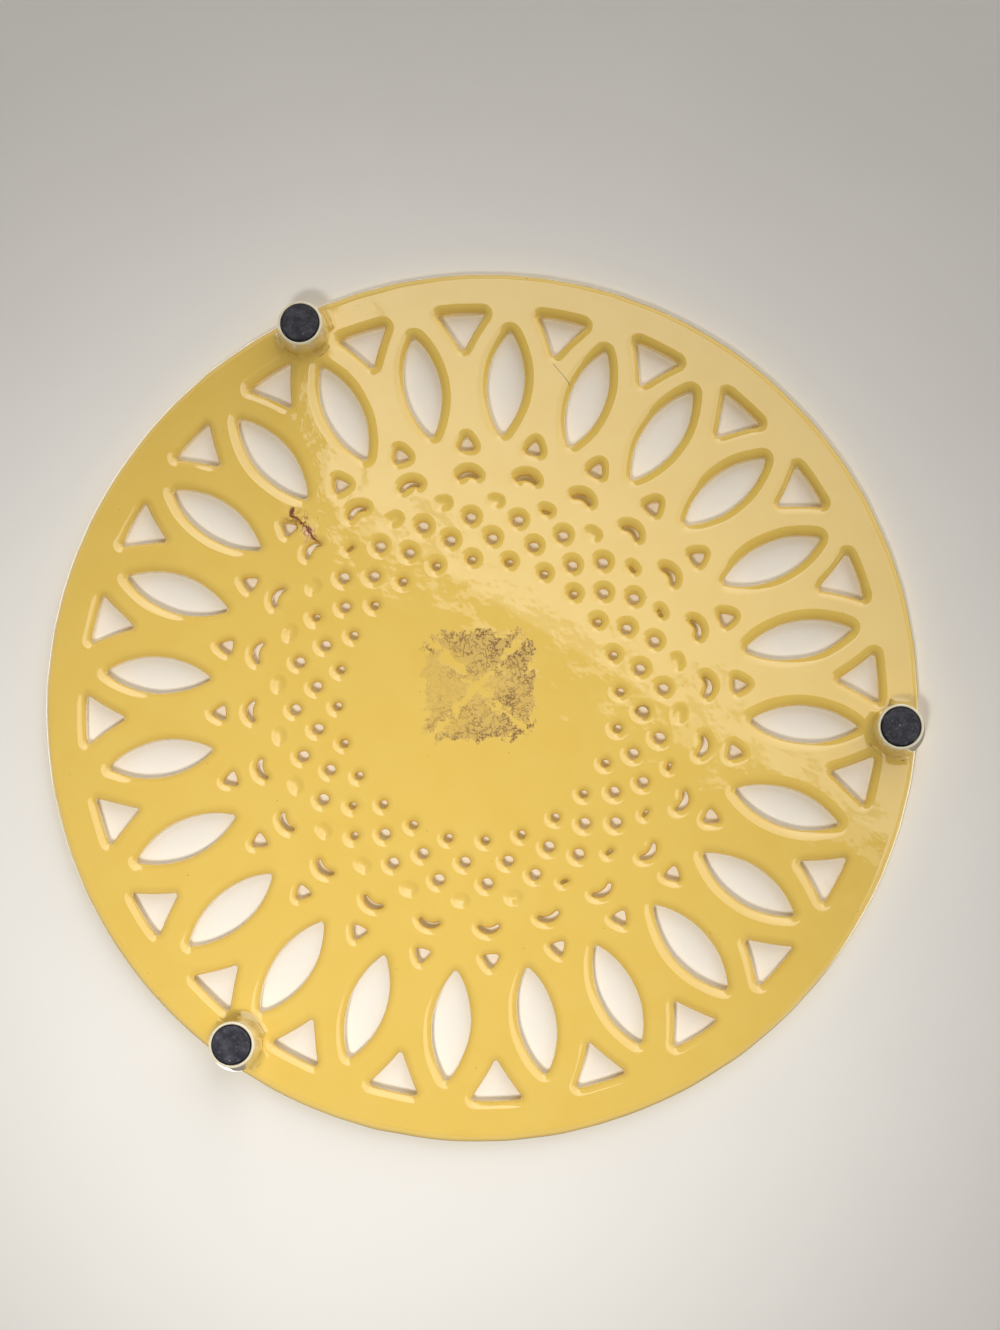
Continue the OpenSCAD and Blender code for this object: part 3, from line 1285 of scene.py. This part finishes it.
@dataclass(frozen=True)
class Surroundings:
    """Pale surroundings with a large low window that the underside mirrors, and two panes for the pot face.

    A direction is a unit vector. A pair of numbers says how far a line of sight reaches along a direction
    where a thing has gone and where it is full.
    """

    colour: tuple = (1.0, 0.965, 0.92, 1)
    base: float = 0.1
    backdrop: float = 0.9
    haze_rises: tuple = (-0.02, 0.02)
    haze_high: float = 0.12
    haze_low: float = 0.45
    haze_low_rises: tuple = (0.6, 0.05)
    window_edge: tuple = (-0.835, 0.541, 0.102)
    window_jamb: tuple = (-0.887, -0.444, -0.121)
    window_run: tuple = (0.543, 0.840, 0.0)
    window_crisp: tuple = (-0.001, 0.001)
    window_far: tuple = (1.0, 0.975)
    window_ends: tuple = ((0.6, 0.4), (-0.65, -0.45))
    window_rises: tuple = (0.0, -0.1)
    window_glow: float = 1.25
    window_glare: float = 3.0
    window_glare_run: float = 0.25
    upper_mullion: tuple = (0.66, -0.72, -0.091)
    upper_mullion_edge: tuple = (0.011, 0.014)
    upper_side: tuple = (0.5, 0.45)
    upper_sill: tuple = (0.1, 0.11)
    upper_head: tuple = (0.52, 0.5)
    upper_glow: float = 0.9

    def build(self) -> None:
        """Makes the world."""
        world = bpy.data.worlds.new("surroundings")
        bpy.context.scene.world = world
        world.use_nodes = True
        sky = Tree(world.node_tree)
        look = sky.node("ShaderNodeTexCoord", output="Generated")
        rise = sky.dot(look, (0, 0, 1))
        haze = self.haze_high + rise.step(*self.haze_low_rises) * self.haze_low
        glow = self._window(sky, look, rise) + self._upper_panes(sky, look, rise)
        glow = glow + rise.step(*self.haze_rises) * haze + self.base
        camera = sky.node("ShaderNodeLightPath", output="Is Camera Ray")
        values = {"Color": self.colour, "Strength": glow.most(camera * self.backdrop)}
        sky.end_in("ShaderNodeOutputWorld", sky.node("ShaderNodeBackground", inputs=values))

    def _window(self, sky: Tree, look: Wire, rise: Wire) -> Wire:
        """Glow of the low window, which is brighter towards one end.

        Args:
            sky: the world's tree.
            look: the line of sight.
            rise: how far it reaches upwards.

        Returns:
            The glow.
        """
        across, run = sky.dot(look, self.window_edge), sky.dot(look, self.window_run)
        pane = across.step(*self.window_crisp) * sky.dot(look, self.window_jamb).step(*self.window_crisp)
        pane = pane * across.step(*self.window_far) * rise.step(*self.window_rises)
        for end in self.window_ends:
            pane = pane * run.step(*end)
        glare = run.most(0.0).least(self.window_glare_run) * self.window_glare
        return pane * (self.window_glow + glare)

    def _upper_panes(self, sky: Tree, look: Wire, rise: Wire) -> Wire:
        """Glow of the two upper panes, with a mullion between them.

        Args:
            sky: the world's tree.
            look: the line of sight.
            rise: how far it reaches upwards.

        Returns:
            The glow.
        """
        aside = abs(sky.dot(look, self.upper_mullion))
        wide = aside.step(*self.upper_mullion_edge) * aside.step(*self.upper_side)
        return wide * rise.step(*self.upper_sill) * rise.step(*self.upper_head) * self.upper_glow


@dataclass
class Studio:
    """Camera at the photograph's viewing angle, soft lights and the pale floor on either side of the trivet.

    The trivet stands on its feet, and the camera looks up at its underside. So the floor that the camera sees
    is two wide discs that each show from one side: one under the feet, and one against the pot face, on which
    the trivet lies in the photograph. Reflections see two others instead. One lies under the feet and has a
    hole a little wider than the plate, so that the rim mirrors a floor and the underside a window. The other
    is a patch over each opening, which the opening's wall mirrors. None of the four blocks light.
    """

    eye: tuple = (-4.6, -107.6, -753.6)
    aim: tuple = (-8.8, 5.5, 10.5)
    up_bearing: float = 115.2
    focal_px: float = 3000.0
    photo_long_side: float = 1330.0
    sensor: float = 36.0
    clip: tuple = (0.01, 100)
    floor_r: float = 8000.0
    floor_hole_r: float = 118.0
    floor_steps: int = 96
    upper_floor_gap: float = 0.1
    lamps: tuple = (
        SoftSpot("soft_spot", (250, -300, -900), (52, -44, 10.5), 26.5, (1.0, 0.97, 0.92)),
        SoftBox("overhead", (350, 500, 1300), (0, 0, 15), 9.0, (1.0, 0.97, 0.93), side=1.2),
        SoftBox("overhead_side", (-900, -700, 900), (0, 0, 15), 4.0, (0.93, 0.96, 1.0), side=0.8),
    )

    def build(self, casting: EnamelCasting) -> None:
        """Makes everything that isn't the object.

        Args:
            casting: the casting, which the upper floor lies against.
        """
        bpy.context.scene.view_settings.view_transform = "Standard"
        self._camera()
        paint, upper_z = FloorFinish().material(), casting.top_z + self.upper_floor_gap
        holed, patches = self._disc(self.floor_hole_r), casting.patches()
        seen = [
            self._stage("floor", self._disc(), 0.0, True, paint),
            self._stage("upper_floor", self._disc(), upper_z, False, paint),
        ]
        mirrored = [
            self._stage("floor_in_reflections", holed, 0.0, True, paint),
            self._stage("upper_floor_in_reflections", patches, upper_z, False, paint),
        ]
        for piece in seen:
            piece.visible_glossy = False
        for piece in mirrored:
            piece.visible_camera = False
        for lamp in self.lamps:
            lamp.hang()
        Surroundings().build()

    def _camera(self) -> None:
        """Adds the camera."""
        back = (Vector(self.eye) - Vector(self.aim)).normalized()
        bearing = math.radians(self.up_bearing)
        up = Vector((math.cos(bearing), math.sin(bearing), 0))
        right = up.cross(back).normalized()
        up = back.cross(right)
        data = bpy.data.cameras.new("camera")
        data.sensor_width = self.sensor
        data.lens = self.focal_px / self.photo_long_side * self.sensor
        data.clip_start, data.clip_end = self.clip
        camera = bpy.data.objects.new("camera", data)
        turn = Matrix((right, up, back)).transposed().to_4x4()
        camera.matrix_world = Matrix.Translation(Vector(self.eye) * MM) @ turn
        bpy.context.scene.collection.objects.link(camera)
        bpy.context.scene.camera = camera

    def _disc(self, hole: float = 0.0) -> bmesh.types.BMesh:
        """Makes a wide disc.

        Args:
            hole: radius of a hole in its middle, in millimetres.

        Returns:
            The disc's mesh in millimetres, at height 0.
        """
        mesh = bmesh.new()
        bmesh.ops.create_circle(
            mesh, cap_ends=not hole, radius=hole or self.floor_r, segments=self.floor_steps
        )
        if hole:
            grown = bmesh.ops.extrude_edge_only(mesh, edges=mesh.edges[:])["geom"]
            outer = [part for part in grown if isinstance(part, bmesh.types.BMVert)]
            bmesh.ops.scale(mesh, vec=(self.floor_r / hole,) * 3, verts=outer)
        return mesh

    def _stage(
        self, name: str, mesh: bmesh.types.BMesh, height: float, upward: bool, paint: bpy.types.Material
    ) -> bpy.types.Object:
        """Adds a flat piece of floor, which shows from one side and blocks no light.

        Args:
            name: its name.
            mesh: its mesh in millimetres, which is used up.
            height: its height in millimetres.
            upward: whether it shows from above.
            paint: its material.

        Returns:
            The piece.
        """
        bmesh.ops.translate(mesh, vec=(0, 0, height), verts=mesh.verts)
        bmesh.ops.scale(mesh, vec=(MM,) * 3, verts=mesh.verts)
        mesh.normal_update()
        wrong = [face for face in mesh.faces if (face.normal.z > 0) != upward]
        bmesh.ops.reverse_faces(mesh, faces=wrong)
        data = bpy.data.meshes.new(name)
        mesh.to_mesh(data)
        mesh.free()
        data.materials.append(paint)
        piece = bpy.data.objects.new(name, data)
        bpy.context.scene.collection.objects.link(piece)
        piece.visible_shadow = piece.visible_diffuse = piece.visible_transmission = False
        return piece


def main() -> None:
    """Builds the trivet and its studio."""
    logging.basicConfig(level=logging.INFO, format="%(name)s: %(message)s")
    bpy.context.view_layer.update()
    casting = EnamelCasting()
    Studio().build(casting)
    pieces = [casting.build()]
    for number, axis in enumerate(casting.legs(), 1):
        pieces.append(RubberPlug(number, axis).build())
    for piece in pieces:
        log.info("%s: %d vertices, %d faces", piece.name, len(piece.data.vertices), len(piece.data.polygons))


if __name__ == "__main__":
    main()
